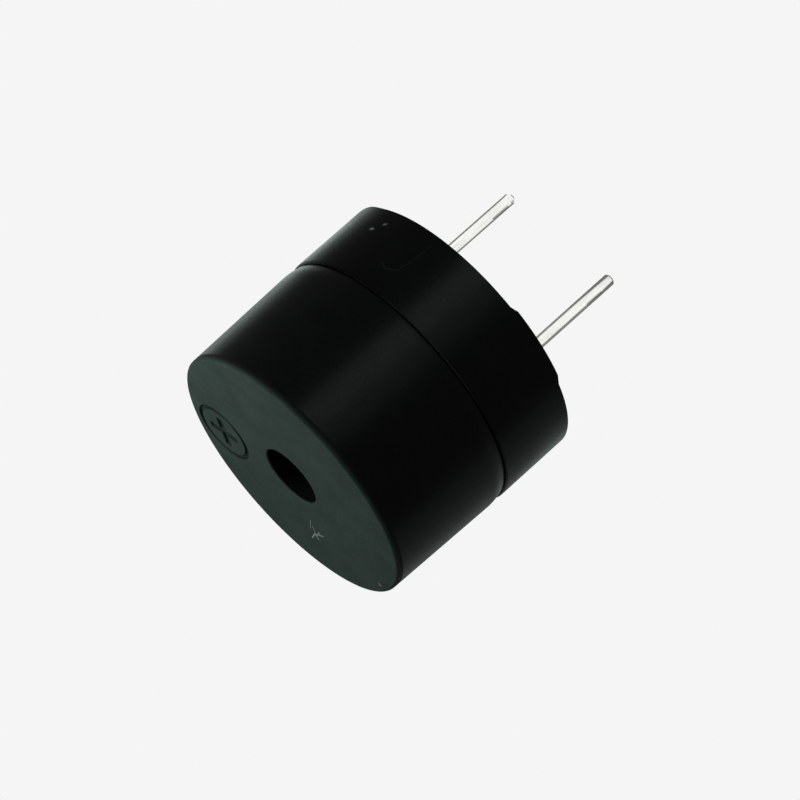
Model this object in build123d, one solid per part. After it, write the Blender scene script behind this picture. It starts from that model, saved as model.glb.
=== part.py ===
from build123d import *

import math
import os

# Self-drive piezo buzzer for a circuit board: a 12 mm moulded drum with a sound port and two leads.
# Frame: millimetres, +Z up through the sound port, origin at the middle of the seating plane on the board.
# X runs along the line of the two leads, with the positive lead on -X.

# Outside of the drum
total_height = 9.4
body_diameter = 12.0
seam_height = 3.55
cap_draft_deg = 1.4
face_edge_radius = 0.3
seam_chamfer_along = 0.5
seam_chamfer_across = 0.2
sound_port_diameter = 2.7
sound_port_chamfer = 0.06

# Walls of the cap
face_thickness = 1.1
cap_wall = 1.1
skirt_wall = 0.6

# Base ring and its three stand-off feet
foot_height = 0.15
foot_span_deg = 37.0
foot_count = 3
first_foot_deg = 25.0
foot_end_chamfer = 0.1
rim_chamfer = 0.08
ledge_chamfer = 0.08
base_wall = 0.7
spigot_wall = 0.5
spigot_height = 1.2

# Sounding disc
adhesive_thickness = 0.08
plate_margin = 0.05
plate_thickness = 0.12
ceramic_margin = 1.25
ceramic_thickness = 0.12
electrode_margin = 0.3
electrode_thickness = 0.02
feedback_width = 1.3
feedback_length = 2.1
electrode_gap = 0.25

# Circuit board and what is on it
board_thickness = 0.8
transistor_length = 2.9
transistor_width = 1.3
transistor_height = 0.95
transistor_lift = 0.1
transistor_span = 2.4
transistor_lead_width = 0.4
transistor_lead_thickness = 0.12
transistor_lead_pitch = 0.95
transistor_draft_deg = 7.0
transistor_place = 2.1
resistor_length = 1.6
resistor_width = 0.8
resistor_height = 0.45
resistor_cap_length = 0.3
resistor_cap_skin = 0.02
resistor_pitch = 1.5
resistor_count = 3
resistor_place = -0.9

# Fine leads from the board to the sounding disc
lead_wire_diameter = 0.2
lead_rise = 0.6
lead_row_pitch = 1.5
lead_row_inset = 1.6
main_joint_deg = 205.0
main_joint_radius_share = 0.55
wire_dot_diameter = 0.7
wire_dot_top_diameter = 0.4
wire_dot_height = 0.22

# Solder-in leads, nail-headed and tinned
pin_pitch = 6.5
pin_diameter = 0.5
pin_grip_width = 0.6
positive_pin_length = 6.0
negative_pin_length = 5.2
pin_head_diameter = 1.1
pin_head_thickness = 0.25
positive_tip_chamfer = 0.14
negative_tip_chamfer = 0.06
pin_solder_diameter = 1.4
pin_solder_top_diameter = 1.0
pin_solder_height = 0.45

# Epoxy that closes the base from below
seal_height = 0.5
seal_climb_down = 0.2
seal_climb_across = 0.35
seal_cover = 0.35

# Clearances between pieces
spigot_clearance = 0.03
board_clearance = 0.05
pin_hole_clearance = 0.03
clamp_clearance = 0.05

# Heights that several pieces share
spigot_top_z = seam_height + spigot_height
plate_bottom_z = spigot_top_z + adhesive_thickness
plate_top_z = plate_bottom_z + plate_thickness
ceramic_bottom_z = plate_bottom_z - ceramic_thickness
electrode_bottom_z = ceramic_bottom_z - electrode_thickness
clamp_z = plate_top_z + clamp_clearance
ceiling_z = total_height - face_thickness
solder_bottom_z = seal_height + seal_cover
board_bottom_z = solder_bottom_z + pin_solder_height
shelf_z = board_bottom_z + board_thickness

# Radii and places that several pieces share
body_radius = body_diameter / 2
port_radius = sound_port_diameter / 2
spigot_bore_radius = body_radius - skirt_wall
spigot_radius = spigot_bore_radius - spigot_clearance
throat_radius = spigot_radius - spigot_wall
board_bore_radius = body_radius - base_wall
plate_radius = spigot_radius - plate_margin
ceramic_radius = throat_radius - ceramic_margin
electrode_radius = ceramic_radius - electrode_margin
pin_radius = pin_diameter / 2
pin_hole_radius = pin_grip_width / math.sqrt(2) + pin_hole_clearance
positive_x = -pin_pitch / 2
negative_x = pin_pitch / 2

# Where the fine leads join the board and the sounding disc, as (x, y)
lead_row_y = -(throat_radius - lead_row_inset)
plate_joint_radius = (ceramic_radius + throat_radius) / 2
main_joint_radius = electrode_radius * main_joint_radius_share
main_joint_x = main_joint_radius * math.cos(math.radians(main_joint_deg))
main_joint_y = main_joint_radius * math.sin(math.radians(main_joint_deg))
main_lead_board = (-lead_row_pitch, lead_row_y)
main_lead_disc = (main_joint_x, main_joint_y)
feedback_lead_board = (0, lead_row_y)
feedback_lead_disc = (0, feedback_length / 2 - electrode_radius)
plate_lead_board = (lead_row_pitch, lead_row_y)
plate_lead_disc = (lead_row_pitch, -math.sqrt(plate_joint_radius**2 - lead_row_pitch**2))


def turned(outline):
    """A solid turned about Z from a closed outline of (radius, height) points."""
    return revolve(Plane.XZ * make_face(Polyline(*outline, close=True)), Axis.Z)


def disc(radius, bottom, thickness):
    """A flat round disc that starts at a height."""
    return extrude(Plane.XY.offset(bottom) * Circle(radius), thickness)


def ring_edge(solid, radius, height):
    """The round edge of a turned solid at a radius and a height."""
    def miss(edge):
        return abs(edge.radius - radius) + abs(edge.arc_center.Z - height)

    return min(solid.edges().filter_by(GeomType.CIRCLE), key=miss)


def blunt_cone(place, bottom, height, bottom_diameter, top_diameter):
    """A solder joint: a short cone with flat ends."""
    middle = bottom + height / 2
    return Pos(*place, middle) * Cone(bottom_diameter / 2, top_diameter / 2, height)


def make_sound_cap():
    """Upper half of the case: a drafted cup with the sound port in its face."""
    drafted_height = total_height - seam_height - seam_chamfer_along
    face_radius = body_radius - drafted_height * math.tan(math.radians(cap_draft_deg))
    cap = turned([
        (port_radius, total_height),
        (face_radius, total_height),
        (body_radius, seam_height + seam_chamfer_along),
        (body_radius - seam_chamfer_across, seam_height),
        (spigot_bore_radius, seam_height),
        (spigot_bore_radius, clamp_z),
        (body_radius - cap_wall, clamp_z),
        (body_radius - cap_wall, ceiling_z),
        (port_radius, ceiling_z),
    ])
    cap = fillet(ring_edge(cap, face_radius, total_height), face_edge_radius)
    return chamfer(ring_edge(cap, port_radius, total_height), sound_port_chamfer)


def make_base_ring():
    """Lower half of the case: a ring with a spigot for the cap, a shelf for the board and three feet."""
    ring = turned([
        (body_radius, 0),
        (body_radius, seam_height),
        (spigot_radius, seam_height),
        (spigot_radius, spigot_top_z),
        (throat_radius, spigot_top_z),
        (throat_radius, shelf_z),
        (board_bore_radius, shelf_z),
        (board_bore_radius, 0),
    ])
    ring = chamfer(ring_edge(ring, body_radius, seam_height), ledge_chamfer)
    ring = chamfer(ring_edge(ring, body_radius, 0), rim_chamfer)
    gap_outline = Polyline(
        (throat_radius, -foot_height),
        (body_diameter, -foot_height),
        (body_diameter, foot_height),
        (throat_radius, foot_height),
        close=True,
    )
    foot_pitch_deg = 360 / foot_count
    gap_deg = foot_pitch_deg - foot_span_deg
    gap = revolve(Plane.XZ * make_face(gap_outline), Axis.Z, revolution_arc=gap_deg)
    for number in range(foot_count):
        start_deg = first_foot_deg + foot_span_deg / 2 + number * foot_pitch_deg
        ring -= Rot(0, 0, start_deg) * gap
    straight_edges = ring.edges().filter_by(GeomType.LINE)
    foot_ends = straight_edges.filter_by_position(Axis.Z, 0, 0)
    return chamfer(foot_ends, foot_end_chamfer)


def make_plate_adhesive():
    """Ring of silicone that holds the plate's edge on the spigot."""
    ring = disc(plate_radius, spigot_top_z, adhesive_thickness)
    return ring - disc(throat_radius, spigot_top_z, adhesive_thickness)


def make_brass_plate():
    """Thin brass disc that bends to make the sound."""
    return disc(plate_radius, plate_bottom_z, plate_thickness)


def make_piezo_ceramic():
    """Ceramic wafer bonded under the brass plate."""
    return disc(ceramic_radius, ceramic_bottom_z, ceramic_thickness)


def feedback_outline(grown_by):
    """Tongue-shaped outline of the feedback electrode, from beyond the disc's -Y edge towards its middle."""
    half_width = feedback_width / 2 + grown_by
    round_y = feedback_length - electrode_radius - feedback_width / 2
    shank_length = electrode_radius + round_y + half_width
    shank = Pos(0, round_y - shank_length / 2) * Rectangle(2 * half_width, shank_length)
    return shank + Pos(0, round_y) * Circle(half_width)


def make_main_electrode():
    """Silvered field of the ceramic that drives it."""
    field = Circle(electrode_radius) - feedback_outline(electrode_gap)
    return extrude(Plane.XY.offset(electrode_bottom_z) * field, electrode_thickness)


def make_feedback_electrode():
    """Silvered tongue of the ceramic that the oscillator listens to."""
    field = Circle(electrode_radius) & feedback_outline(0)
    return extrude(Plane.XY.offset(electrode_bottom_z) * field, electrode_thickness)


def make_circuit_board():
    """Round board that seats on the base's shelf, drilled for the two leads."""
    board = disc(board_bore_radius - board_clearance, board_bottom_z, board_thickness)
    for x in (positive_x, negative_x):
        board -= Pos(x, 0) * disc(pin_hole_radius, board_bottom_z, board_thickness)
    return board


def transistor_lead():
    """One gull-wing lead along +Y: a foot on the board, a rise and a stub that goes into the body."""
    tip = transistor_span / 2
    body = transistor_width / 2
    knee = (tip + body) / 2
    thickness = transistor_lead_thickness
    stub_z = transistor_lift + (transistor_height - transistor_lift) / 2
    outline = Polyline(
        (tip, 0),
        (tip, thickness),
        (knee + thickness / 2, thickness),
        (knee + thickness / 2, stub_z + thickness / 2),
        (0, stub_z + thickness / 2),
        (0, stub_z - thickness / 2),
        (knee - thickness / 2, stub_z - thickness / 2),
        (knee - thickness / 2, 0),
        close=True,
    )
    return extrude(Plane.YZ * make_face(outline), transistor_lead_width / 2, both=True)


def make_drive_transistor():
    """Small moulded transistor with one lead on its near side and two on its far side."""
    waist = transistor_lift + (transistor_height - transistor_lift) / 2
    middle = Plane.XY.offset(waist) * Rectangle(transistor_length, transistor_width)
    half_height = waist - transistor_lift
    body = extrude(middle, half_height, taper=transistor_draft_deg)
    body += extrude(middle, -half_height, taper=transistor_draft_deg)
    lead = transistor_lead()
    body += Rot(0, 0, 180) * lead
    for side in (-1, 1):
        body += Pos(side * transistor_lead_pitch, 0) * lead
    return Pos(0, transistor_place, shelf_z) * body


def chip_resistor():
    """One chip resistor along Y: a ceramic block with a metal cap over each end."""
    middle_z = resistor_height / 2
    block_height = resistor_height - 2 * resistor_cap_skin
    block = Pos(0, 0, middle_z) * Box(resistor_width, resistor_length, block_height)
    end_cap = Box(resistor_width + 2 * resistor_cap_skin, resistor_cap_length, resistor_height)
    cap_y = (resistor_length - resistor_cap_length) / 2
    for side in (-1, 1):
        block += Pos(0, side * cap_y, middle_z) * end_cap
    return block


def make_chip_resistors():
    """A row of chip resistors on the board."""
    row = []
    for number in range(resistor_count):
        x = (number - (resistor_count - 1) / 2) * resistor_pitch
        row.append(Pos(x, resistor_place, shelf_z) * chip_resistor())
    return Compound(children=row)


def make_lead_wire(board_place, disc_place, disc_z):
    """A fine lead that rises from its board joint, jogs across and rises to its joint under the disc."""
    start = Vector(*board_place, shelf_z + wire_dot_height)
    end = Vector(*disc_place, disc_z - wire_dot_height)
    rise = Vector(0, 0, lead_rise)
    path = Polyline(start, start + rise, end - rise, end)
    section = Plane(origin=start, z_dir=(0, 0, 1)) * Circle(lead_wire_diameter / 2)
    return sweep(section, path, transition=Transition.RIGHT)


def make_lead_solder():
    """The six solder joints at both ends of the three fine leads, wide on what carries them."""
    joints = []
    wide, narrow = wire_dot_diameter, wire_dot_top_diameter
    for place in (main_lead_board, feedback_lead_board, plate_lead_board):
        joints.append(blunt_cone(place, shelf_z, wire_dot_height, wide, narrow))
    under_disc = (
        (main_lead_disc, electrode_bottom_z),
        (feedback_lead_disc, electrode_bottom_z),
        (plate_lead_disc, plate_bottom_z),
    )
    for place, top in under_disc:
        joints.append(blunt_cone(place, top - wire_dot_height, wire_dot_height, narrow, wide))
    return Compound(children=joints)


def pin_grip(x):
    """The square length of a lead that is soldered into the board and cast into the resin."""
    height = shelf_z - seal_height
    return Pos(x, 0, seal_height + height / 2) * Box(pin_grip_width, pin_grip_width, height)


def make_pin(x, length, tip_chamfer):
    """A nail-headed lead: the head seats on the board, the square grip goes down to the resin's surface, and
    the round shank goes on past the seating plane."""
    shank = disc(pin_radius, -length, length + seal_height)
    shank = chamfer(ring_edge(shank, pin_radius, -length), tip_chamfer)
    head = disc(pin_head_diameter / 2, shelf_z, pin_head_thickness)
    return Pos(x, 0) * (shank + head) + pin_grip(x)


def pin_solder_cone(x):
    """The outside of a lead's solder joint, under the board."""
    narrow, wide = pin_solder_top_diameter, pin_solder_diameter
    return blunt_cone((x, 0), solder_bottom_z, pin_solder_height, narrow, wide)


def make_pin_solder():
    """The two solder joints of the leads, each with its lead's own hole through it."""
    joints = []
    for x in (positive_x, negative_x):
        joints.append(pin_solder_cone(x) - pin_grip(x))
    return Compound(children=joints)


def make_epoxy_seal():
    """Resin poured under the board: it climbs the wall a little and grips the leads and their joints."""
    seal = turned([
        (0, seal_height),
        (board_bore_radius - seal_climb_across, seal_height),
        (board_bore_radius, seal_height - seal_climb_down),
        (board_bore_radius, board_bottom_z),
        (0, board_bottom_z),
    ])
    for x in (positive_x, negative_x):
        seal -= pin_grip(x) + pin_solder_cone(x)
    return seal


pieces = {
    "sound_cap": make_sound_cap(),
    "base_ring": make_base_ring(),
    "plate_adhesive": make_plate_adhesive(),
    "brass_plate": make_brass_plate(),
    "piezo_ceramic": make_piezo_ceramic(),
    "main_electrode": make_main_electrode(),
    "feedback_electrode": make_feedback_electrode(),
    "circuit_board": make_circuit_board(),
    "drive_transistor": make_drive_transistor(),
    "chip_resistors": make_chip_resistors(),
    "main_lead": make_lead_wire(main_lead_board, main_lead_disc, electrode_bottom_z),
    "feedback_lead": make_lead_wire(feedback_lead_board, feedback_lead_disc, electrode_bottom_z),
    "plate_lead": make_lead_wire(plate_lead_board, plate_lead_disc, plate_bottom_z),
    "lead_solder": make_lead_solder(),
    "positive_pin": make_pin(positive_x, positive_pin_length, positive_tip_chamfer),
    "negative_pin": make_pin(negative_x, negative_pin_length, negative_tip_chamfer),
    "pin_solder": make_pin_solder(),
    "epoxy_seal": make_epoxy_seal(),
}

os.makedirs("parts", exist_ok=True)
for name, solid in pieces.items():
    export_step(solid, f"parts/{name}.step")
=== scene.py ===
import math

import bmesh
import bpy
from mathutils import Matrix, Vector


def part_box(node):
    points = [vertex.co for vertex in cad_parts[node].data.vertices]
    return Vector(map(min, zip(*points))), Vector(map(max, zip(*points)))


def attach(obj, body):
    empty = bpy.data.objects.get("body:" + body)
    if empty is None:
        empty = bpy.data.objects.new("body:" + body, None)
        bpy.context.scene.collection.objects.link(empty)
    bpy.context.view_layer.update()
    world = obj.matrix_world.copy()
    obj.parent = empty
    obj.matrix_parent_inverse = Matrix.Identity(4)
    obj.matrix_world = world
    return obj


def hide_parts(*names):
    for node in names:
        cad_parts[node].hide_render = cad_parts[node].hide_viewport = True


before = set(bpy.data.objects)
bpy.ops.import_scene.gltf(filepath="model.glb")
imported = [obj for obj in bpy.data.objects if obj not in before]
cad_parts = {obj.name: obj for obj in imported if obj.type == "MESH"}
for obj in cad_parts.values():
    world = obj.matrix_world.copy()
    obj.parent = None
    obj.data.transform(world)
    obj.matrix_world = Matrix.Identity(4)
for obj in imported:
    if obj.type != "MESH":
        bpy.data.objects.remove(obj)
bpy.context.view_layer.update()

# Lengths below are in millimetres, in the part's own frame: +Z up through the sound port, leads down,
# X along the line of the leads with the positive lead on -X.
MM = 0.001
UP = Vector((0, 0, 1))

# Camera, set to the photograph's view: it is rolled, so that the drum's face looks down to the left
CAMERA_AZIMUTH_DEG = 140.73
CAMERA_ELEVATION_DEG = 18.64
CAMERA_ROLL_DEG = 131.64
CAMERA_AIM = (0.455, -0.372, 3.97)
CAMERA_DISTANCE = 195.66
CAMERA_NEAR_SHARE = 0.1
CAMERA_LENS = 225.0
CAMERA_SENSOR = 36.0

# Case, turned about Z
TURN_STEPS = 192
ROUND_STEPS = 5
MERGE_GAP = 1e-4
SHARP_ANGLE_DEG = 28.0
CAP_DRAFT_DEG = 1.4
CAP_FACE_ROUND = 0.12
CAP_FACE_FADE = 0.3
CAP_FACE_WALL = 1.1
CAP_WALL = 1.1
CAP_SKIRT_WALL = 0.6
CAP_CLAMP_HEIGHT = 5.0
SEAM_CHAMFER_ALONG = 0.5
SEAM_CHAMFER_ACROSS = 0.1
SEAM_ROUND = 0.07
SEAM_SHOULDER_ROUND = 0.2
PORT_RADIUS = 1.35
PORT_ROUND = 0.07
BASE_LEDGE_HEIGHT = 3.55
BASE_SPIGOT_CLEARANCE = 0.03
BASE_SPIGOT_WALL = 0.5
BASE_BORE_WALL = 0.7
BASE_SHELF_HEIGHT = 2.1
BASE_EDGE_ROUND = 0.08
FOOT_HEIGHT = 0.15
FOOT_ROUND = 0.08
FOOT_STEPS = 12
FOOT_EDGE_SHARE = 0.1

# Feet on the base's rim, as (start, end, slope of the start, slope of the end), in degrees from +X about Z
FEET = (
    (6.5, 43.5, 3.0, 3.0),
    (115.0, 163.5, 12.0, 3.0),
    (246.5, 283.5, 3.0, 3.0),
)

# Polarity mark, sunk in the face's flat in line with the positive lead
MARK_PLACE = (-4.07, -0.13)
MARK_RADIUS = 1.4
MARK_LINE = 0.22
MARK_DEPTH = 0.095
MARK_LEAN = 0.02
MARK_STEPS = 96
CROSS_SPAN = 1.62
CROSS_ARM = 0.34
FACE_MARGIN = 0.02
FLAT_SPAN_MIN = 1.0

# Order of the finishes in the cap's mesh
WALL_FINISH, FACE_FINISH, MARK_SHADE_FINISH = range(3)

# Scuffs on the face, as (start, end, width) strokes on the face's plane
FACE_SCUFFS = (
    ((0.18, -2.60), (-0.08, -3.27), 0.05),
    ((0.15, -3.00), (0.16, -3.42), 0.06),
    ((0.14, -3.45), (-0.22, -3.97), 0.11),
    ((0.04, -3.57), (0.22, -3.54), 0.12),
    ((0.20, -3.55), (0.49, -3.15), 0.10),
    ((0.40, -3.38), (0.68, -3.24), 0.12),
    ((0.18, -3.58), (0.21, -3.79), 0.11),
    ((3.74, -3.94), (3.82, -4.0), 0.15),
)

# Specks of dust on the base's wall, as (start, end, width) strokes
WALL_SPECKS = (
    ((-1.87, 5.7, 1.255), (-1.99, 5.66, 1.255), 0.2),
    ((-1.6, 5.785, 0.87), (-1.52, 5.805, 0.82), 0.16),
)

# Hairline scuff on the base's wall, as (start, end, width) strokes
WALL_SCUFFS = (
    ((-0.06, 6.00, 2.34), (0.31, 5.99, 2.52), 0.06),
    ((0.31, 5.99, 2.52), (0.73, 5.96, 2.32), 0.07),
    ((0.73, 5.96, 2.32), (0.85, 5.94, 1.78), 0.06),
    ((0.85, 5.94, 1.78), (0.92, 5.93, 0.64), 0.05),
)

# Painted dark reflection on the leads: dark streaks along one side of each lead, as (start, end, width)
# strokes
LEAD_DARK_REFLECTION_STREAKS = (
    ((-3.004, 0.05, -4.7), (-3.004, 0.03, -5.5), 0.16),
    ((-3.004, 0.05, -5.75), (-3.004, 0.05, -5.98), 0.14),
    ((3.495, 0.045, -0.5), (3.495, 0.045, -3.6), 0.1),
    ((3.493, 0.06, -3.7), (3.495, 0.05, -4.45), 0.17),
    ((3.495, 0.045, -4.5), (3.493, 0.06, -5.2), 0.11),
)

# Noise of the fine grain, the slow patches and a stroke's ragged edge, and the spans of it that are used
FINE_NOISE = {"Detail": 3.0, "Roughness": 0.6}
SLOW_NOISE = {"Detail": 4.0, "Roughness": 0.62}
STROKE_NOISE = {"Scale": 14.0, "Detail": 2.0}
STROKE_RAGGEDNESS = 0.03
STROKE_SPREAD = 0.012
GRAIN_SPAN = (0.25, 0.75)
PATCH_SPAN = (0.3, 0.7)

# Finish of the case's wall. Tones are a darker and a lighter one, a grain is given as fine grains and slow
# patches per millimetre, and a roughness as its least and its most.
WALL_TONES = ((0.0044, 0.0052, 0.0049), (0.0062, 0.0073, 0.0069))
WALL_GRAIN = (9.0, 0.6)
WALL_GRAIN_DEPTH = 0.0012
WALL_ROUGHNESS = (0.24, 0.34)
WALL_SHINE = 0.16
WALL_SCUFF_TONE = (0.16, 0.175, 0.17)
WALL_SCUFF_STRENGTH = 0.28
DUST_TONE = (0.62, 0.66, 0.64)

# Finish of the face
FACE_TONES = ((0.031, 0.052, 0.044), (0.042, 0.069, 0.059))
FACE_GRAIN = (6.5, 0.7)
FACE_GRAIN_DEPTH = 0.006
FACE_PATCH_SPAN = (0.28, 0.72)
FACE_ROUGHNESS = (0.55, 0.72)
FACE_SHINE = 0.3
SPECKLE_TONE = (0.06, 0.098, 0.083)
SPECKLE_SPAN = (0.52, 0.8)
SPECKLE_STRENGTH = 0.35
FACE_SCUFF_TONE = (0.5, 0.53, 0.51)

# Depths below the face's plane between which, at its edge, the face's finish gives way to the wall's
FACE_SKIN = 0.003
FACE_SHINE_END = 0.018
WALL_SHINE_START = 0.06
TEXTURE_END = 0.24

# Finish of the sunk mark's sides: tones darker than the face's, painted shade that stands for the shade
# inside the mark's recess
MARK_SHADE_TONES = ((0.0135, 0.0225, 0.019), (0.018, 0.0295, 0.025))
MARK_GRAIN_DEPTH = 0.004
MARK_ROUGHNESS = (0.5, 0.65)
MARK_SHINE = 0.2

# Finish of the leads: drawn lines along Z, dull patches and flecks; the flecks' dark tone also paints the
# dark reflection streaks
LEAD_TONES = ((0.80, 0.80, 0.76), (0.94, 0.94, 0.91))
LEAD_STRETCH = (1.0, 1.0, 0.06)
LEAD_LINES = (22.0, 3.0)
LEAD_LINE_SPAN = (0.3, 0.7)
LEAD_LINE_DEPTH = 0.003
LEAD_ROUGHNESS = (0.14, 0.3)
FLECK_AND_REFLECTION_TONE = (0.09, 0.09, 0.07)
FLECK_GRAIN = (5.0, 2.6)
FLECK_SPAN = (0.7, 0.78)
FLECK_STRENGTH = 0.7

# Plain finishes, as (darker and lighter tone, grains and patches per mm, roughness, grain's depth, metallic)
PLAIN_FINISHES = {
    "printed_silver": (((0.55, 0.55, 0.53), (0.75, 0.74, 0.7)), (10.0, 1.5), (0.4, 0.6), 0.002, 1.0),
    "enamelled_copper": (((0.5, 0.17, 0.07), (0.66, 0.27, 0.12)), (9.0, 1.5), (0.2, 0.34), 0.002, 1.0),
    "solder": (((0.5, 0.51, 0.52), (0.72, 0.73, 0.73)), (7.0, 2.0), (0.22, 0.42), 0.006, 1.0),
    "chip_moulding": (((0.012, 0.012, 0.013), (0.026, 0.026, 0.027)), (12.0, 1.5), (0.45, 0.6), 0.003, 0.0),
    "cast_resin": (((0.006, 0.006, 0.0065), (0.014, 0.014, 0.015)), (1.6, 0.45), (0.16, 0.3), 0.012, 0.0),
    "rolled_brass": (((0.6, 0.4, 0.14), (0.74, 0.53, 0.22)), (14.0, 1.0), (0.22, 0.36), 0.001, 1.0),
    "fired_ceramic": (((0.46, 0.4, 0.29), (0.58, 0.52, 0.4)), (12.0, 1.2), (0.6, 0.75), 0.003, 0.0),
    "silicone": (((0.66, 0.65, 0.61), (0.76, 0.75, 0.71)), (5.0, 0.8), (0.4, 0.55), 0.006, 0.0),
    "board_laminate": (((0.018, 0.11, 0.035), (0.03, 0.16, 0.055)), (8.0, 0.9), (0.3, 0.45), 0.003, 0.0),
}

# Finishes of the CAD nodes that are shown as modelled
NODE_FINISHES = {
    "positive_pin": "tinned_lead",
    "negative_pin": "tinned_lead",
    "epoxy_seal": "cast_resin",
    "brass_plate": "rolled_brass",
    "piezo_ceramic": "fired_ceramic",
    "plate_adhesive": "silicone",
    "circuit_board": "board_laminate",
    "main_electrode": "printed_silver",
    "feedback_electrode": "printed_silver",
    "drive_transistor": "chip_moulding",
    "chip_resistors": "chip_moulding",
    "main_lead": "enamelled_copper",
    "feedback_lead": "enamelled_copper",
    "plate_lead": "enamelled_copper",
    "lead_solder": "solder",
    "pin_solder": "solder",
}

# Backdrop, floor and room
BACKDROP_LEVEL = 0.9131
ROOM_LEVEL = 0.036
FLOOR_BOUNCE = 0.36
FLOOR_SIZE = 4000.0

# Softboxes, as (azimuth, elevation, distance, size, radiance)
OVERHEAD_SOFTBOX = (180.0, 84.0, 150.0, 120.0, 1.6)
SIDE_SOFTBOX = (230.7, 42.0, 24.0, 10.0, 7.0)

# Cards on the floor for the leads to mirror: a white one before each lead and a grey one behind it. Each pair
# meets at a distance from its lead's middle, towards the camera.
LEAD_CARD_STARTS = {"positive_pin": 0.0, "negative_pin": 1.5}
LEAD_CARD_REACH = 16.0
LEAD_CARD_WIDTH = 30.0
LEAD_MIDDLE_LEVEL = 1.0
LEAD_EDGE_LEVEL = 0.16

# Strips of light that stand on the floor for the case to mirror, as (name, azimuth, distance, width,
# radiance, height)
STRIPS = (
    ("band_strip", 161.0, 19.8, 6.0, 0.75, 18.0),
    ("band_tail_strip", 145.0, 19.8, 6.0, 0.3, 18.0),
    ("left_strip", 286.0, 17.0, 10.0, 0.47, 18.0),
    ("left_inner_strip", 268.0, 17.0, 7.0, 0.26, 18.0),
    ("right_strip", 34.0, 17.0, 18.0, 0.13, 18.0),
    ("right_edge_strip", 0.0, 17.0, 6.0, 0.15, 18.0),
    ("right_low_strip", 0.0, 16.8, 6.0, 0.12, 4.4),
)

# Cards that lie on the floor for the case to mirror, as (name, azimuth, near end, far end, width, radiance)
CARDS = (
    ("left_card", 292.0, 21.0, 33.0, 11.0, 0.5),
    ("band_card", 161.0, 14.5, 19.7, 6.0, 0.75),
    ("band_tail_card", 145.0, 14.5, 19.7, 6.0, 0.3),
    ("right_card", 12.0, 18.0, 27.0, 12.0, 0.09),
)
CARD_LIFT = 0.05
NEUTRAL_TINT = (1.0, 1.0, 1.0)
GREENISH_TINT = (0.87, 1.06, 1.0)

cap_low, cap_high = (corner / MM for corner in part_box("sound_cap"))
base_top = (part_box("base_ring")[1] / MM).z
body_radius = cap_high.x
face_height = cap_high.z
seam_height = cap_low.z
floor_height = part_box("positive_pin")[0].z / MM


# Building helpers

def close_up(bm):
    """Merges the vertices that meet and turns every polygon outward."""
    bmesh.ops.remove_doubles(bm, verts=bm.verts, dist=MERGE_GAP)
    bmesh.ops.recalc_face_normals(bm, faces=bm.faces)


def finished_piece(name, bm, materials):
    """Turns a bmesh in millimetres into a piece of the object that rides on the part's one body."""
    close_up(bm)
    bmesh.ops.scale(bm, vec=(MM, MM, MM), verts=bm.verts)
    mesh = bpy.data.meshes.new(name)
    bm.to_mesh(mesh)
    bm.free()
    for polygon in mesh.polygons:
        polygon.use_smooth = True
    mesh.set_sharp_from_angle(angle=math.radians(SHARP_ANGLE_DEG))
    for material in materials:
        mesh.materials.append(material)
    piece = bpy.data.objects.new(name, mesh)
    bpy.context.scene.collection.objects.link(piece)
    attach(piece, "root")
    return piece


def closed_line(bm, corners):
    """Joins vertices by edges into a closed line; returns the edges."""
    return [bm.edges.new(pair) for pair in zip(corners, corners[1:] + corners[:1])]


def outline_loop(bm, points):
    """A closed outline in the XZ plane through (radius, height) points; returns its vertices."""
    corners = [bm.verts.new((radius, 0, height)) for radius, height in points]
    closed_line(bm, corners)
    return corners


def round_corner(bm, corner, radius):
    """Rounds one corner of an outline."""
    bmesh.ops.bevel(bm, geom=[corner], offset=radius, offset_type="OFFSET", segments=ROUND_STEPS,
                    profile=0.5, affect="VERTICES", material=-1)


def turn(bm):
    """Turns an outline once about Z."""
    bmesh.ops.spin(bm, geom=bm.verts[:] + bm.edges[:], cent=(0, 0, 0), axis=UP, dvec=(0, 0, 0),
                   angle=math.tau, steps=TURN_STEPS, use_merge=True)


# Shader helpers

def add_node(tree, kind, **settings):
    """A node with its settings and, where a name is an input's, that input's value."""
    made = tree.nodes.new(kind)
    for key, value in settings.items():
        if hasattr(made, key):
            setattr(made, key, value)
        else:
            made.inputs[key.replace("_", " ")].default_value = value
    return made


def feed(tree, value, socket):
    """Links an output to a socket, or sets a plain value on it."""
    if isinstance(value, bpy.types.NodeSocket):
        tree.links.new(value, socket)
    else:
        socket.default_value = value


def maths(tree, operation, first, second, clamp=False):
    """A Math node fed by two outputs or numbers; returns its output."""
    made = add_node(tree, "ShaderNodeMath", operation=operation, use_clamp=clamp)
    feed(tree, first, made.inputs[0])
    feed(tree, second, made.inputs[1])
    return made.outputs[0]


def vector_maths(tree, operation, first, second, output="Vector"):
    """A Vector Math node fed by two outputs; returns the asked output."""
    made = add_node(tree, "ShaderNodeVectorMath", operation=operation)
    tree.links.new(first, made.inputs[0])
    tree.links.new(second, made.inputs[1])
    return made.outputs[output]


def scaled(tree, vector, factor):
    """A vector made longer or shorter by a factor."""
    made = add_node(tree, "ShaderNodeVectorMath", operation="SCALE")
    tree.links.new(vector, made.inputs[0])
    feed(tree, factor, made.inputs["Scale"])
    return made.outputs[0]


def mix_colour(tree, factor, first, second):
    """Mixes two colours, each an output or a plain colour."""
    made = add_node(tree, "ShaderNodeMix", data_type="RGBA")
    tree.links.new(factor, made.inputs["Factor"])
    colour_inputs = [socket for socket in made.inputs if socket.type == "RGBA"]
    for socket, value in zip(colour_inputs, (first, second)):
        feed(tree, (*value, 1.0) if isinstance(value, tuple) else value, socket)
    return next(socket for socket in made.outputs if socket.type == "RGBA")


def ranged(tree, value, low, high, to_low=0.0, to_high=1.0):
    """Maps a value from one range to another, clamped, with a smooth step."""
    made = add_node(tree, "ShaderNodeMapRange", interpolation_type="SMOOTHSTEP",
                    From_Min=low, From_Max=high, To_Min=to_low, To_Max=to_high)
    tree.links.new(value, made.inputs["Value"])
    return made.outputs["Result"]


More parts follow.
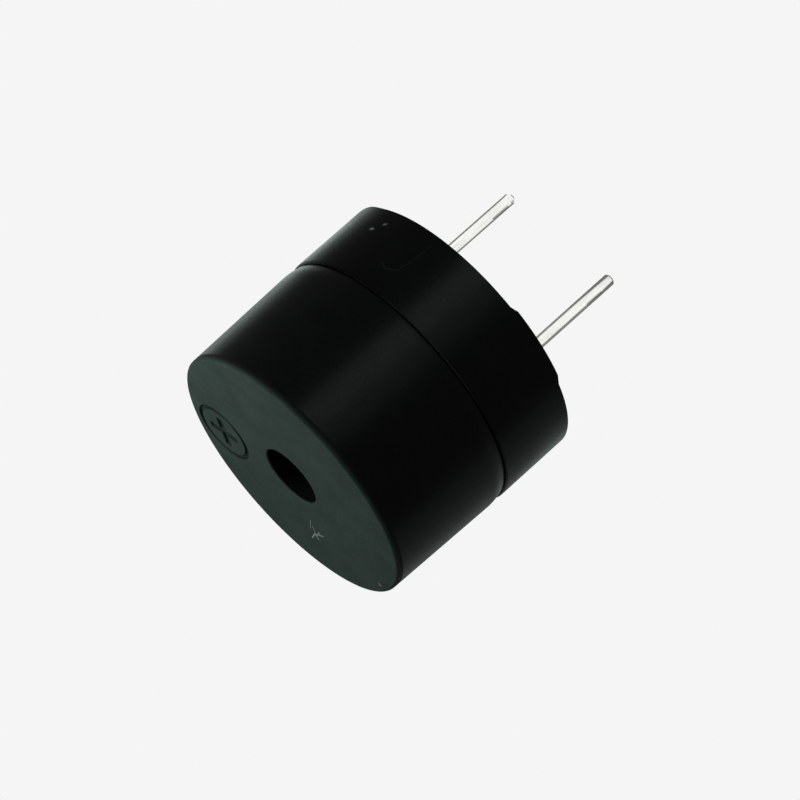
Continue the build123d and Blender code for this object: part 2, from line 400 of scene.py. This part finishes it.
def new_group(name, inputs, outputs):
    """A shader node group with named sockets; returns it with its input and output nodes."""
    tree = bpy.data.node_groups.new(name, "ShaderNodeTree")
    for label, kind in inputs:
        tree.interface.new_socket(label, in_out="INPUT", socket_type=kind)
    for label, kind in outputs:
        tree.interface.new_socket(label, in_out="OUTPUT", socket_type=kind)
    return tree, tree.nodes.new("NodeGroupInput"), tree.nodes.new("NodeGroupOutput")


def make_grain_group():
    """Moulded grain: fine bumps and slow patches, from a place in millimetres."""
    tree, given, out = new_group(
        "moulded_grain",
        [("Place", "NodeSocketVector"), ("Grains per mm", "NodeSocketFloat"),
         ("Patches per mm", "NodeSocketFloat")],
        [("Grain", "NodeSocketFloat"), ("Patch", "NodeSocketFloat")],
    )
    fine = add_node(tree, "ShaderNodeTexNoise", **FINE_NOISE)
    slow = add_node(tree, "ShaderNodeTexNoise", **SLOW_NOISE)
    for texture, rate, output in ((fine, "Grains per mm", "Grain"), (slow, "Patches per mm", "Patch")):
        tree.links.new(given.outputs["Place"], texture.inputs["Vector"])
        tree.links.new(given.outputs[rate], texture.inputs["Scale"])
        tree.links.new(texture.outputs[0], out.inputs[output])
    return tree


def make_stroke_group():
    """Mask of one straight stroke between two places in millimetres, with a ragged edge."""
    tree, given, out = new_group(
        "scuff_stroke",
        [("Place", "NodeSocketVector"), ("Start", "NodeSocketVector"), ("End", "NodeSocketVector"),
         ("Width", "NodeSocketFloat")],
        [("Mask", "NodeSocketFloat")],
    )
    along = vector_maths(tree, "SUBTRACT", given.outputs["End"], given.outputs["Start"])
    offset = vector_maths(tree, "SUBTRACT", given.outputs["Place"], given.outputs["Start"])
    square = vector_maths(tree, "DOT_PRODUCT", along, along, "Value")
    reach = vector_maths(tree, "DOT_PRODUCT", offset, along, "Value")
    share = maths(tree, "DIVIDE", reach, square, clamp=True)
    gap = vector_maths(tree, "DISTANCE", offset, scaled(tree, along, share), "Value")
    wobble = add_node(tree, "ShaderNodeTexNoise", **STROKE_NOISE)
    tree.links.new(given.outputs["Place"], wobble.inputs["Vector"])
    ragged = maths(tree, "ADD", gap, maths(tree, "MULTIPLY", wobble.outputs[0], STROKE_RAGGEDNESS))
    half = maths(tree, "ADD", maths(tree, "MULTIPLY", given.outputs["Width"], 0.5), STROKE_SPREAD)
    inside = maths(tree, "DIVIDE", maths(tree, "SUBTRACT", half, ragged), half, clamp=True)
    tree.links.new(inside, out.inputs["Mask"])
    return tree


GRAIN_GROUP = make_grain_group()
STROKE_GROUP = make_stroke_group()


def add_group(tree, group, place, **values):
    """Uses a shared node group at a place, with plain values on its other inputs; returns its outputs."""
    made = add_node(tree, "ShaderNodeGroup", node_tree=group, **values)
    tree.links.new(place, made.inputs["Place"])
    return made.outputs


def new_material(name, **fixed):
    """A material with a Principled shader whose plain values are set on its own sockets."""
    made = bpy.data.materials.new(name)
    made.use_nodes = True
    shader = made.node_tree.nodes["Principled BSDF"]
    for key, value in fixed.items():
        shader.inputs[key.replace("_", " ")].default_value = value
    return made, made.node_tree, shader


def place_in_mm(tree):
    """The place on the piece, in millimetres."""
    return scaled(tree, tree.nodes.new("ShaderNodeTexCoord").outputs["Object"], 1 / MM)


def add_grain(tree, place, grains, patches):
    """The moulded grain's two outputs at the given rates."""
    outputs = add_group(tree, GRAIN_GROUP, place, Grains_per_mm=grains, Patches_per_mm=patches)
    return outputs["Grain"], outputs["Patch"]


def add_strokes(tree, place, strokes):
    """The strongest mask of several scuff strokes."""
    strongest = None
    for start, end, width in strokes:
        mask = add_group(tree, STROKE_GROUP, place, Start=start, End=end, Width=width)["Mask"]
        strongest = mask if strongest is None else maths(tree, "MAXIMUM", strongest, mask)
    return strongest


def add_bump(tree, shader, height, depth):
    """Bumps the shader's normal by a height, given in millimetres of depth."""
    made = add_node(tree, "ShaderNodeBump", Strength=1.0, Distance=depth * MM)
    tree.links.new(height, made.inputs["Height"])
    tree.links.new(made.outputs[0], shader.inputs["Normal"])


def two_tone(name, tones, rates, roughness, grain_depth, **fixed):
    """A plain finish: two close tones in slow patches, with grain in its roughness and its surface."""
    made, tree, shader = new_material(name, **fixed)
    grain, patch = add_grain(tree, place_in_mm(tree), *rates)
    tone = mix_colour(tree, ranged(tree, patch, *PATCH_SPAN), *tones)
    tree.links.new(tone, shader.inputs["Base Color"])
    tree.links.new(ranged(tree, grain, *GRAIN_SPAN, *roughness), shader.inputs["Roughness"])
    add_bump(tree, shader, grain, grain_depth)
    return made


# Finishes

def make_case_wall():
    """Smooth black moulding of the case's wall, with a hairline scuff and specks of dust."""
    made, tree, shader = new_material("case_wall", Specular_IOR_Level=WALL_SHINE)
    place = place_in_mm(tree)
    grain, patch = add_grain(tree, place, *WALL_GRAIN)
    tone = mix_colour(tree, ranged(tree, patch, *PATCH_SPAN), *WALL_TONES)
    scuffs = maths(tree, "MULTIPLY", add_strokes(tree, place, WALL_SCUFFS), WALL_SCUFF_STRENGTH)
    scuffed = mix_colour(tree, scuffs, tone, WALL_SCUFF_TONE)
    dusty = mix_colour(tree, add_strokes(tree, place, WALL_SPECKS), scuffed, DUST_TONE)
    tree.links.new(dusty, shader.inputs["Base Color"])
    tree.links.new(ranged(tree, grain, *GRAIN_SPAN, *WALL_ROUGHNESS), shader.inputs["Roughness"])
    add_bump(tree, shader, grain, WALL_GRAIN_DEPTH)
    return made


def make_case_face():
    """Matte, finely textured moulding of the face, with its scuffs; at its edge it turns into the wall's."""
    made, tree, shader = new_material("case_face", Specular_IOR_Level=FACE_SHINE)
    place = place_in_mm(tree)
    grain, patch = add_grain(tree, place, *FACE_GRAIN)
    tone = mix_colour(tree, ranged(tree, patch, *FACE_PATCH_SPAN), *FACE_TONES)
    speckles = ranged(tree, grain, *SPECKLE_SPAN, 0.0, SPECKLE_STRENGTH)
    speckled = mix_colour(tree, speckles, tone, SPECKLE_TONE)
    strokes = [((*start, face_height), (*end, face_height), width) for start, end, width in FACE_SCUFFS]
    scuffed = mix_colour(tree, add_strokes(tree, place, strokes), speckled, FACE_SCUFF_TONE)
    split = tree.nodes.new("ShaderNodeSeparateXYZ")
    tree.links.new(place, split.inputs[0])
    height = split.outputs["Z"]
    skin = face_height - FACE_SKIN
    textured = ranged(tree, height, face_height - TEXTURE_END, skin)
    face_shine = ranged(tree, height, face_height - FACE_SHINE_END, skin, 0.0, FACE_SHINE)
    wall_shine = ranged(tree, height, face_height - CAP_FACE_ROUND, face_height - WALL_SHINE_START,
                        WALL_SHINE, 0.0)
    shine = maths(tree, "ADD", face_shine, wall_shine)
    tree.links.new(shine, shader.inputs["Specular IOR Level"])
    tree.links.new(mix_colour(tree, textured, WALL_TONES[1], scuffed), shader.inputs["Base Color"])
    tree.links.new(ranged(tree, grain, *GRAIN_SPAN, *FACE_ROUGHNESS), shader.inputs["Roughness"])
    add_bump(tree, shader, grain, FACE_GRAIN_DEPTH)
    return made


def make_case_mark_shade():
    """Sides of the sunk mark in painted shade: tones darker than the face's stand for the shade in the
    recess, and the sides are shaded as one with the face, so that they show as even dark lines.
    """
    made = two_tone("case_mark_shade", MARK_SHADE_TONES, FACE_GRAIN, MARK_ROUGHNESS, MARK_GRAIN_DEPTH,
                    Specular_IOR_Level=MARK_SHINE)
    tree = made.node_tree
    upright = add_node(tree, "ShaderNodeVectorTransform", vector_type="NORMAL", convert_from="OBJECT",
                       convert_to="WORLD", Vector=UP)
    bump = next(node for node in tree.nodes if node.type == "BUMP")
    tree.links.new(upright.outputs[0], bump.inputs["Normal"])
    return made


def make_tinned():
    """Bright tinned wire: drawn lines along it, dull patches, a few dark flecks and painted dark reflection
    streaks along one side.
    """
    made, tree, shader = new_material("tinned_lead", Metallic=1.0)
    place = place_in_mm(tree)
    stretched = add_node(tree, "ShaderNodeMapping", Scale=LEAD_STRETCH)
    tree.links.new(place, stretched.inputs["Vector"])
    lines, dull = add_grain(tree, stretched.outputs[0], *LEAD_LINES)
    _, fleck = add_grain(tree, place, *FLECK_GRAIN)
    tone = mix_colour(tree, ranged(tree, lines, *LEAD_LINE_SPAN), *LEAD_TONES)
    small_spots = ranged(tree, fleck, *FLECK_SPAN, 0.0, FLECK_STRENGTH)
    # Dark flecks from noise, together with the painted dark reflection streaks along one side of each lead
    flecks_and_dark_reflection = maths(tree, "MAXIMUM", small_spots, add_strokes(tree, place, LEAD_DARK_REFLECTION_STREAKS))
    tree.links.new(mix_colour(tree, flecks_and_dark_reflection, tone, FLECK_AND_REFLECTION_TONE), shader.inputs["Base Color"])
    tree.links.new(ranged(tree, dull, *PATCH_SPAN, *LEAD_ROUGHNESS), shader.inputs["Roughness"])
    add_bump(tree, shader, lines, LEAD_LINE_DEPTH)
    return made


def dress_nodes():
    """Gives each CAD node that is shown as modelled its finish."""
    finishes = {"tinned_lead": make_tinned()}
    for name, (tones, rates, roughness, grain_depth, metallic) in PLAIN_FINISHES.items():
        finishes[name] = two_tone(name, tones, rates, roughness, grain_depth, Metallic=metallic)
    for node_name, finish_name in NODE_FINISHES.items():
        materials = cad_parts[node_name].data.materials
        materials.clear()
        materials.append(finishes[finish_name])


# Case pieces

def make_cap(wall, face, mark):
    """Upper half of the case: a drafted cup with a rounded face, a chamfered skirt and the sound port."""
    drafted = face_height - seam_height - SEAM_CHAMFER_ALONG
    draft = math.tan(math.radians(CAP_DRAFT_DEG))
    face_radius = body_radius - drafted * draft
    bore_radius = body_radius - CAP_SKIRT_WALL
    cavity_radius = body_radius - CAP_WALL
    ceiling = face_height - CAP_FACE_WALL
    bm = bmesh.new()
    port_edge, _, _, face_edge, _, shoulder, skirt_edge, *_ = outline_loop(bm, [
        (PORT_RADIUS, face_height),
        (PORT_RADIUS + PORT_ROUND + FACE_MARGIN, face_height),
        (face_radius - CAP_FACE_ROUND - FACE_MARGIN, face_height),
        (face_radius, face_height),
        (face_radius + CAP_FACE_FADE * draft, face_height - CAP_FACE_FADE),
        (body_radius, seam_height + SEAM_CHAMFER_ALONG),
        (body_radius - SEAM_CHAMFER_ACROSS, seam_height),
        (bore_radius, seam_height),
        (bore_radius, CAP_CLAMP_HEIGHT),
        (cavity_radius, CAP_CLAMP_HEIGHT),
        (cavity_radius, ceiling),
        (PORT_RADIUS, ceiling),
    ])
    round_corner(bm, port_edge, PORT_ROUND)
    round_corner(bm, face_edge, CAP_FACE_ROUND)
    round_corner(bm, shoulder, SEAM_SHOULDER_ROUND)
    round_corner(bm, skirt_edge, SEAM_ROUND)
    turn(bm)
    close_up(bm)
    for polygon in bm.faces:
        on_face = polygon.calc_center_median().z > face_height - CAP_FACE_FADE
        polygon.material_index = FACE_FINISH if on_face else WALL_FINISH
    sink_mark(bm)
    piece = finished_piece("cap_moulding", bm, (wall, face, mark))
    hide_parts("sound_cap")
    return piece


def in_wide_flat(polygon):
    """Whether a polygon belongs to the wide ring of the face's plane that takes the mark."""
    reaches = [corner.co.xy.length for corner in polygon.verts]
    level = all(corner.co.z > face_height - MERGE_GAP for corner in polygon.verts)
    return level and max(reaches) - min(reaches) > FLAT_SPAN_MIN


def sink_mark(bm):
    """Sinks the circled plus in the flat of the face: the flat is refilled round the mark's outline."""
    flat = [polygon for polygon in bm.faces if in_wide_flat(polygon)]
    bmesh.ops.delete(bm, geom=flat, context="FACES")
    rims = [edge for edge in bm.edges if edge.is_boundary]
    floor = face_height - MARK_DEPTH
    inner_radius = MARK_RADIUS - MARK_LINE
    outer = mark_circle(bm, MARK_RADIUS, face_height)
    inner = mark_circle(bm, inner_radius, face_height)
    cross = mark_cross(bm, 0, face_height)
    low_outer = mark_circle(bm, MARK_RADIUS - MARK_LEAN, floor)
    low_inner = mark_circle(bm, inner_radius + MARK_LEAN, floor)
    low_cross = mark_cross(bm, MARK_LEAN, floor)
    for edges in (rims + outer, inner + cross):
        filled = bmesh.ops.triangle_fill(bm, use_beauty=True, edges=edges, normal=UP)["geom"]
        give_finish(filled, FACE_FINISH)
    for upper, lower in ((outer, low_outer), (inner, low_inner), (cross, low_cross)):
        # The mark's sides take the painted-shade finish, darker than the face
        give_finish(bmesh.ops.bridge_loops(bm, edges=upper + lower)["faces"], MARK_SHADE_FINISH)
    give_finish(bmesh.ops.bridge_loops(bm, edges=low_outer + low_inner)["faces"], FACE_FINISH)
    give_finish(bmesh.ops.contextual_create(bm, geom=low_cross)["faces"], FACE_FINISH)


def give_finish(geometry, index):
    """Gives the polygons among some geometry one of the cap's finishes."""
    for element in geometry:
        if isinstance(element, bmesh.types.BMFace):
            element.material_index = index


def mark_circle(bm, radius, height):
    """A circle of edges about the mark's middle, at a height."""
    middle = Matrix.Translation((*MARK_PLACE, height))
    made = bmesh.ops.create_circle(bm, cap_ends=False, segments=MARK_STEPS, radius=radius, matrix=middle)
    return list(dict.fromkeys(edge for corner in made["verts"] for edge in corner.link_edges))


def mark_cross(bm, inset, height):
    """The outline of a plus about the mark's middle, drawn in by an inset, at a height."""
    far = CROSS_SPAN / 2 - inset
    near = CROSS_ARM / 2 - inset
    corners = []
    for turns in range(4):
        swing = Matrix.Rotation(turns * math.pi / 2, 2)
        for point in ((far, -near), (far, near), (near, near)):
            place = swing @ Vector(point) + Vector(MARK_PLACE)
            corners.append(bm.verts.new((*place, height)))
    return closed_line(bm, corners)


def make_base(wall):
    """Lower half of the case: a ring with a spigot, a shelf and three feet on its rim."""
    spigot_radius = body_radius - CAP_SKIRT_WALL - BASE_SPIGOT_CLEARANCE
    throat_radius = spigot_radius - BASE_SPIGOT_WALL
    bore_radius = body_radius - BASE_BORE_WALL
    bm = bmesh.new()
    _, ledge_edge, *_ = outline_loop(bm, [
        (body_radius, FOOT_HEIGHT),
        (body_radius, BASE_LEDGE_HEIGHT),
        (spigot_radius, BASE_LEDGE_HEIGHT),
        (spigot_radius, base_top),
        (throat_radius, base_top),
        (throat_radius, BASE_SHELF_HEIGHT),
        (bore_radius, BASE_SHELF_HEIGHT),
        (bore_radius, FOOT_HEIGHT),
    ])
    round_corner(bm, ledge_edge, BASE_EDGE_ROUND)
    turn(bm)
    for start_deg, end_deg, start_slope_deg, end_slope_deg in FEET:
        add_foot(bm, bore_radius, start_deg, end_deg, start_slope_deg, end_slope_deg)
    piece = finished_piece("base_moulding", bm, (wall,))
    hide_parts("base_ring")
    return piece


def add_foot(bm, bore_radius, start_deg, end_deg, start_slope_deg, end_slope_deg):
    """A low stand-off foot on the rim, between two angles, with sloped ends."""
    foot = bmesh.new()
    _, outer_edge, *_ = outline_loop(foot, [
        (bore_radius, 0),
        (body_radius, 0),
        (body_radius, FOOT_HEIGHT),
        (bore_radius, FOOT_HEIGHT),
    ])
    round_corner(foot, outer_edge, FOOT_ROUND)
    bmesh.ops.contextual_create(foot, geom=foot.edges[:])
    swing = Matrix.Rotation(math.radians(start_deg), 3, "Z")
    bmesh.ops.rotate(foot, cent=(0, 0, 0), matrix=swing, verts=foot.verts)
    bmesh.ops.spin(foot, geom=foot.verts[:] + foot.edges[:] + foot.faces[:], cent=(0, 0, 0), axis=UP,
                   dvec=(0, 0, 0), angle=math.radians(end_deg - start_deg), steps=FOOT_STEPS)
    bmesh.ops.remove_doubles(foot, verts=foot.verts, dist=MERGE_GAP)
    slope_end(foot, start_deg, start_slope_deg)
    slope_end(foot, end_deg, end_slope_deg)
    bmesh.ops.recalc_face_normals(foot, faces=foot.faces)
    block = bpy.data.meshes.new("foot_block")
    foot.to_mesh(block)
    foot.free()
    bm.from_mesh(block)
    bpy.data.meshes.remove(block)


def slope_end(foot, end_deg, slope_deg):
    """Slopes one end of a foot: from a thin edge at the end, the foot grows to its height over the slope."""
    end_line = Vector((math.cos(math.radians(end_deg)), math.sin(math.radians(end_deg))))
    for corner in foot.verts:
        from_end_deg = math.degrees(corner.co.xy.angle(end_line))
        share = max(FOOT_EDGE_SHARE, min(1.0, from_end_deg / slope_deg))
        corner.co.z = FOOT_HEIGHT - (FOOT_HEIGHT - corner.co.z) * share


# Stage

def direction(azimuth_deg, elevation_deg):
    """Unit vector from the object towards a place round it; azimuth 0 is on -Y and 90 on +X."""
    azimuth = math.radians(azimuth_deg)
    elevation = math.radians(elevation_deg)
    level = math.cos(elevation)
    return Vector((math.sin(azimuth) * level, -math.cos(azimuth) * level, math.sin(elevation)))


def make_camera():
    """Camera at the photograph's view of the drum."""
    back = direction(CAMERA_AZIMUTH_DEG, CAMERA_ELEVATION_DEG)
    level_right = UP.cross(back).normalized()
    level_up = back.cross(level_right)
    roll = math.radians(CAMERA_ROLL_DEG)
    upward = level_up * math.cos(roll) + level_right * math.sin(roll)
    data = bpy.data.cameras.new("camera")
    data.lens = CAMERA_LENS
    data.sensor_width = CAMERA_SENSOR
    data.clip_start = CAMERA_DISTANCE * CAMERA_NEAR_SHARE * MM
    data.clip_end = FLOOR_SIZE * 2 * MM
    camera = bpy.data.objects.new("camera", data)
    set_place(camera, Vector(CAMERA_AIM) + back * CAMERA_DISTANCE, upward.cross(back), upward, back)
    bpy.context.scene.collection.objects.link(camera)
    bpy.context.scene.camera = camera


def set_place(item, place, across, upward, back):
    """Puts a camera or a light at a place, with its width, its height and its back in given directions."""
    facing = Matrix((across, upward, back)).transposed().to_4x4()
    item.matrix_world = Matrix.Translation(place * MM) @ facing


def make_panel(name, width, height, radiance, tint=NEUTRAL_TINT):
    """A rectangular light that the camera does not see; radiance is the brightness of the panel itself."""
    data = bpy.data.lights.new(name, "AREA")
    data.shape = "RECTANGLE"
    data.size = width * MM
    data.size_y = height * MM
    data.energy = radiance * math.pi * data.size * data.size_y
    data.color = tint
    panel = bpy.data.objects.new(name, data)
    panel.visible_camera = False
    bpy.context.scene.collection.objects.link(panel)
    return panel


def make_softbox(name, azimuth_deg, elevation_deg, distance, size, radiance):
    """A square softbox that faces the middle of the drum."""
    softbox = make_panel(name, size, size, radiance)
    back = direction(azimuth_deg, elevation_deg)
    across = UP.cross(back).normalized()
    set_place(softbox, Vector((0, 0, face_height / 2)) + back * distance, across, back.cross(across), back)
    return softbox


def make_card(name, azimuth_deg, near, far, width, radiance, tint=NEUTRAL_TINT, aside=0.0):
    """A pale card that lies on the floor from one distance to another, for the case or a lead to mirror."""
    card = make_panel(name, width, far - near, radiance, tint)
    outward = direction(azimuth_deg, 0)
    across = outward.cross(UP)
    level = UP * (floor_height + CARD_LIFT)
    set_place(card, outward * (near + far) / 2 + across * aside + level, across, outward, -UP)
    return card


def make_lead_cards(node_name, start):
    """The white card before one lead and the grey one behind it, for its middle and its edges to mirror."""
    low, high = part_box(node_name)
    middle = (low + high) / 2 / MM
    outward = direction(CAMERA_AZIMUTH_DEG, 0)
    meeting = middle.dot(outward) + start
    aside = middle.dot(outward.cross(UP))
    for suffix, near, far, radiance in (
        ("_front_card", meeting, meeting + LEAD_CARD_REACH, LEAD_MIDDLE_LEVEL),
        ("_back_card", meeting - LEAD_CARD_REACH, meeting, LEAD_EDGE_LEVEL),
    ):
        card = make_card(node_name + suffix, CAMERA_AZIMUTH_DEG, near, far, LEAD_CARD_WIDTH, radiance,
                         aside=aside)
        light_only(card, (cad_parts[node_name],))


def make_strip(name, azimuth_deg, distance, width, radiance, height):
    """A strip of light that stands on the floor beside the drum, for its wall to mirror."""
    strip = make_panel(name, width, height, radiance, GREENISH_TINT)
    outward = direction(azimuth_deg, 0)
    place = outward * distance + UP * (floor_height + height / 2)
    set_place(strip, place, UP.cross(outward), UP, outward)
    return strip


def light_only(light, pieces):
    """Lets a light reach the given pieces alone."""
    reached = bpy.data.collections.new(light.name + "_reach")
    for piece in pieces:
        reached.objects.link(piece)
    light.light_linking.receiver_collection = reached


def grey(level):
    """A neutral colour of one level."""
    return (level, level, level, 1.0)


def show_backdrop(tree, seen, other, output_kind):
    """Shows one shader to the camera and another to every other ray."""
    path = tree.nodes.new("ShaderNodeLightPath")
    mixed = tree.nodes.new("ShaderNodeMixShader")
    tree.links.new(path.outputs["Is Camera Ray"], mixed.inputs["Fac"])
    tree.links.new(other.outputs[0], mixed.inputs[1])
    tree.links.new(seen.outputs[0], mixed.inputs[2])
    tree.links.new(mixed.outputs[0], tree.nodes.new(output_kind).inputs["Surface"])


def make_floor():
    """Plain pale floor under the leads' tips, as pale as the photograph's backdrop."""
    bm = bmesh.new()
    bmesh.ops.create_grid(bm, x_segments=1, y_segments=1, size=FLOOR_SIZE / 2 * MM)
    bmesh.ops.translate(bm, vec=(0, 0, floor_height * MM), verts=bm.verts)
    mesh = bpy.data.meshes.new("floor")
    bm.to_mesh(mesh)
    bm.free()
    material = bpy.data.materials.new("floor")
    material.use_nodes = True
    tree = material.node_tree
    tree.nodes.clear()
    pale = add_node(tree, "ShaderNodeEmission", Color=grey(BACKDROP_LEVEL))
    bounce = add_node(tree, "ShaderNodeBsdfDiffuse", Color=grey(FLOOR_BOUNCE))
    show_backdrop(tree, pale, bounce, "ShaderNodeOutputMaterial")
    mesh.materials.append(material)
    floor = bpy.data.objects.new("floor", mesh)
    bpy.context.scene.collection.objects.link(floor)


def make_room():
    """A pale backdrop behind the floor and a dim room for everything that the object reflects."""
    world = bpy.data.worlds.new("room")
    world.use_nodes = True
    tree = world.node_tree
    tree.nodes.clear()
    pale = add_node(tree, "ShaderNodeBackground", Color=grey(BACKDROP_LEVEL))
    dim = add_node(tree, "ShaderNodeBackground", Color=grey(ROOM_LEVEL))
    show_backdrop(tree, pale, dim, "ShaderNodeOutputWorld")
    bpy.context.scene.world = world
    bpy.context.scene.view_settings.view_transform = "Standard"


case_wall = make_case_wall()
case_face = make_case_face()
# Sides of the sunk mark, in painted shade
case_mark_shade = make_case_mark_shade()
cap = make_cap(case_wall, case_face, case_mark_shade)
base = make_base(case_wall)
dress_nodes()
make_camera()
make_floor()
make_room()
make_softbox("overhead_softbox", *OVERHEAD_SOFTBOX)
light_only(make_softbox("side_softbox", *SIDE_SOFTBOX), (cap,))
for node_name, start in LEAD_CARD_STARTS.items():
    make_lead_cards(node_name, start)
case_lights = [make_strip(*strip) for strip in STRIPS]
case_lights += [make_card(*card, GREENISH_TINT) for card in CARDS]
for light in case_lights:
    light_only(light, (cap, base))
